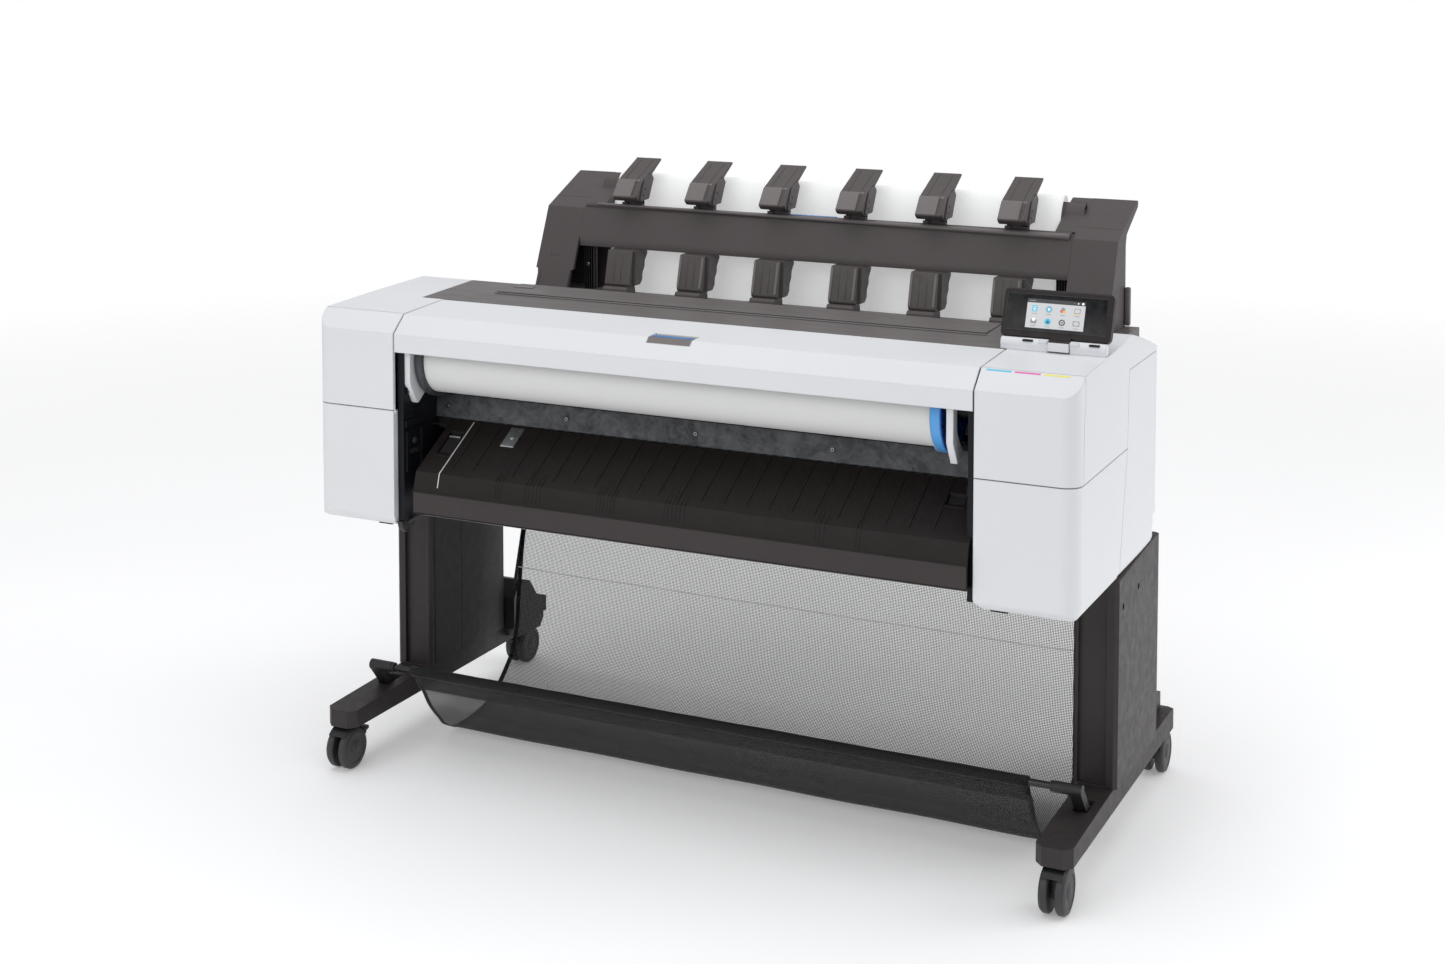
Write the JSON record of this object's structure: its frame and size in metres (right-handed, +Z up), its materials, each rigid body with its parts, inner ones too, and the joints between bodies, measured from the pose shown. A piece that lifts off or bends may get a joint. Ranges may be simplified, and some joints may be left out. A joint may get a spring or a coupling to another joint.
{
  "type": "large format plotter",
  "caption": "Wide roll-fed plotter on a wheeled stand with end cabinets, front roll bay, tilting panel, top stacker and a hanging print basket.",
  "frame": {"origin": "on the floor, under the middle of the object's width and depth", "axes": "+X to the right as seen from the front, +Y towards the back, +Z up"},
  "size_m": [1.39, 0.795, 1.055],
  "materials": {
    "white_plastic": "satin",
    "brown_plastic": "fine satin",
    "dark_plastic": "matte",
    "apron_plastic": "satin",
    "stand_paint": "fine texture",
    "rod_paint": "semi gloss",
    "frame_steel": "satin",
    "mesh_fabric": "open weave",
    "wheel_plastic": "matte",
    "hub_grey": "satin",
    "hub_blue": "satin",
    "roll_paper": "matte",
    "marbled_strip": "mottled satin",
    "screen_glass": "gloss",
    "ink_black": "satin",
    "board_green": "satin",
    "roller_rubber": "matte",
    "belt_rubber": "matte"
  },
  "bodies": {
    "frame": {"foot_left": "stand_paint", "foot_right": "stand_paint", "leg_left": "stand_paint", "leg_right": "stand_paint", "leg_brace": "stand_paint", "leg_screws": "rod_paint", "basket_front_rod": "rod_paint", "basket_rod_brackets": "dark_plastic", "basket_rear_frame": "rod_paint", "basket_rear_brackets": "dark_plastic", "basket_fabric": "mesh_fabric", "chassis_tray": "frame_steel", "side_frames": "dark_plastic", "cabinet_left_lower": "white_plastic", "cabinet_right_lower": "white_plastic", "cabinet_left_top": "white_plastic", "cabinet_right_top": "white_plastic", "rear_side_covers": "white_plastic", "ink_cartridges": "ink_black", "rear_housing": "brown_plastic", "main_board": "board_green", "power_supply": "frame_steel", "roll_deflector": "marbled_strip", "output_apron": "apron_plastic", "apron_clip": "frame_steel", "print_platen": "dark_plastic", "carriage_rail": "frame_steel", "drive_belt": "belt_rubber", "carriage_drive": "frame_steel", "service_station": "dark_plastic", "panel_base": "white_plastic", "stacker_brackets": "brown_plastic", "stacker_beam": "brown_plastic", "stacker_paddles": "brown_plastic", "stacker_arms": "brown_plastic", "stacker_deck": "brown_plastic", "print_sheet": "roll_paper"},
    "roll_cover": {"roll_cover": "white_plastic"},
    "cover_latch": {"cover_latch": "dark_plastic"},
    "roll": {"spindle": "frame_steel", "hub_left": "hub_grey", "hub_right": "hub_blue", "paper_roll": "roll_paper"},
    "door_left": {"ink_door_left": "white_plastic"},
    "door_right": {"ink_door_right": "white_plastic"},
    "window": {"top_window": "brown_plastic"},
    "carriage": {"carriage": "dark_plastic"},
    "feed_roller": {"feed_roller": "roller_rubber"},
    "pinch_rollers": {"pinch_rollers": "roller_rubber"},
    "panel": {"panel_housing": "dark_plastic", "panel_glass": "screen_glass"},
    "fork_fl": {"caster_fork_fl": "dark_plastic"},
    "wheels_fl": {"caster_wheels_fl": "wheel_plastic"},
    "fork_fr": {"caster_fork_fr": "dark_plastic"},
    "wheels_fr": {"caster_wheels_fr": "wheel_plastic"},
    "fork_rl": {"caster_fork_rl": "dark_plastic"},
    "wheels_rl": {"caster_wheels_rl": "wheel_plastic"},
    "fork_rr": {"caster_fork_rr": "dark_plastic"},
    "wheels_rr": {"caster_wheels_rr": "wheel_plastic"}
  },
  "joints": [
    {"name": "swivel_fl", "type": "hinge", "parent": "frame", "child": "fork_fl", "pos_m": [-0.66, -0.3375, 0.078], "axis": [0, 0, 1], "continuous": true},
    {"name": "roll_fl", "type": "hinge", "parent": "fork_fl", "child": "wheels_fl", "pos_m": [-0.66, -0.3575, 0.0375], "axis": [1, 0, 0], "continuous": true},
    {"name": "swivel_fr", "type": "hinge", "parent": "frame", "child": "fork_fr", "pos_m": [0.66, -0.3375, 0.078], "axis": [0, 0, 1], "continuous": true},
    {"name": "roll_fr", "type": "hinge", "parent": "fork_fr", "child": "wheels_fr", "pos_m": [0.66, -0.3575, 0.0375], "axis": [1, 0, 0], "continuous": true},
    {"name": "swivel_rl", "type": "hinge", "parent": "frame", "child": "fork_rl", "pos_m": [-0.66, 0.2525, 0.078], "axis": [0, 0, 1], "continuous": true},
    {"name": "roll_rl", "type": "hinge", "parent": "fork_rl", "child": "wheels_rl", "pos_m": [-0.66, 0.2725, 0.0375], "axis": [1, 0, 0], "continuous": true},
    {"name": "swivel_rr", "type": "hinge", "parent": "frame", "child": "fork_rr", "pos_m": [0.66, 0.2525, 0.078], "axis": [0, 0, 1], "continuous": true},
    {"name": "roll_rr", "type": "hinge", "parent": "fork_rr", "child": "wheels_rr", "pos_m": [0.66, 0.2725, 0.0375], "axis": [1, 0, 0], "continuous": true},
    {"name": "cover_hinge", "type": "hinge", "parent": "frame", "child": "roll_cover", "pos_m": [0, -0.23, 0.8395], "axis": [-1, 0, 0], "range_deg": [0, 75]},
    {"name": "latch_press", "type": "hinge", "parent": "roll_cover", "child": "cover_latch", "pos_m": [0, -0.3285, 0.8323], "axis": [1, 0, 0], "range_deg": [0, 12]},
    {"name": "roll_spin", "type": "hinge", "parent": "frame", "child": "roll", "pos_m": [0, -0.2925, 0.755], "axis": [1, 0, 0], "continuous": true},
    {"name": "door_left_hinge", "type": "hinge", "parent": "frame", "child": "door_left", "pos_m": [0, -0.386, 0.6745], "axis": [1, 0, 0], "range_deg": [0, 70]},
    {"name": "door_right_hinge", "type": "hinge", "parent": "frame", "child": "door_right", "pos_m": [0, -0.386, 0.6745], "axis": [1, 0, 0], "range_deg": [0, 70]},
    {"name": "window_hinge", "type": "hinge", "parent": "frame", "child": "window", "pos_m": [0, -0.0525, 0.8495], "axis": [-1, 0, 0], "range_deg": [0, 60]},
    {"name": "carriage_travel", "type": "slide", "parent": "frame", "child": "carriage", "axis": [-1, 0, 0], "range_m": [0, 1.18]},
    {"name": "feed_spin", "type": "hinge", "parent": "frame", "child": "feed_roller", "pos_m": [0, -0.0395, 0.627], "axis": [1, 0, 0], "continuous": true},
    {"name": "pinch_spin", "type": "hinge", "parent": "frame", "child": "pinch_rollers", "pos_m": [0, -0.0395, 0.6481], "axis": [1, 0, 0], "continuous": true},
    {"name": "panel_tilt", "type": "hinge", "parent": "frame", "child": "panel", "pos_m": [0, -0.2155, 0.8542], "axis": [-1, 0, 0], "range_deg": [-20, 25]}
  ],
  "couplings": [
    {"joint": "pinch_spin", "follows": "feed_spin", "ratio": -1.625}
  ]
}
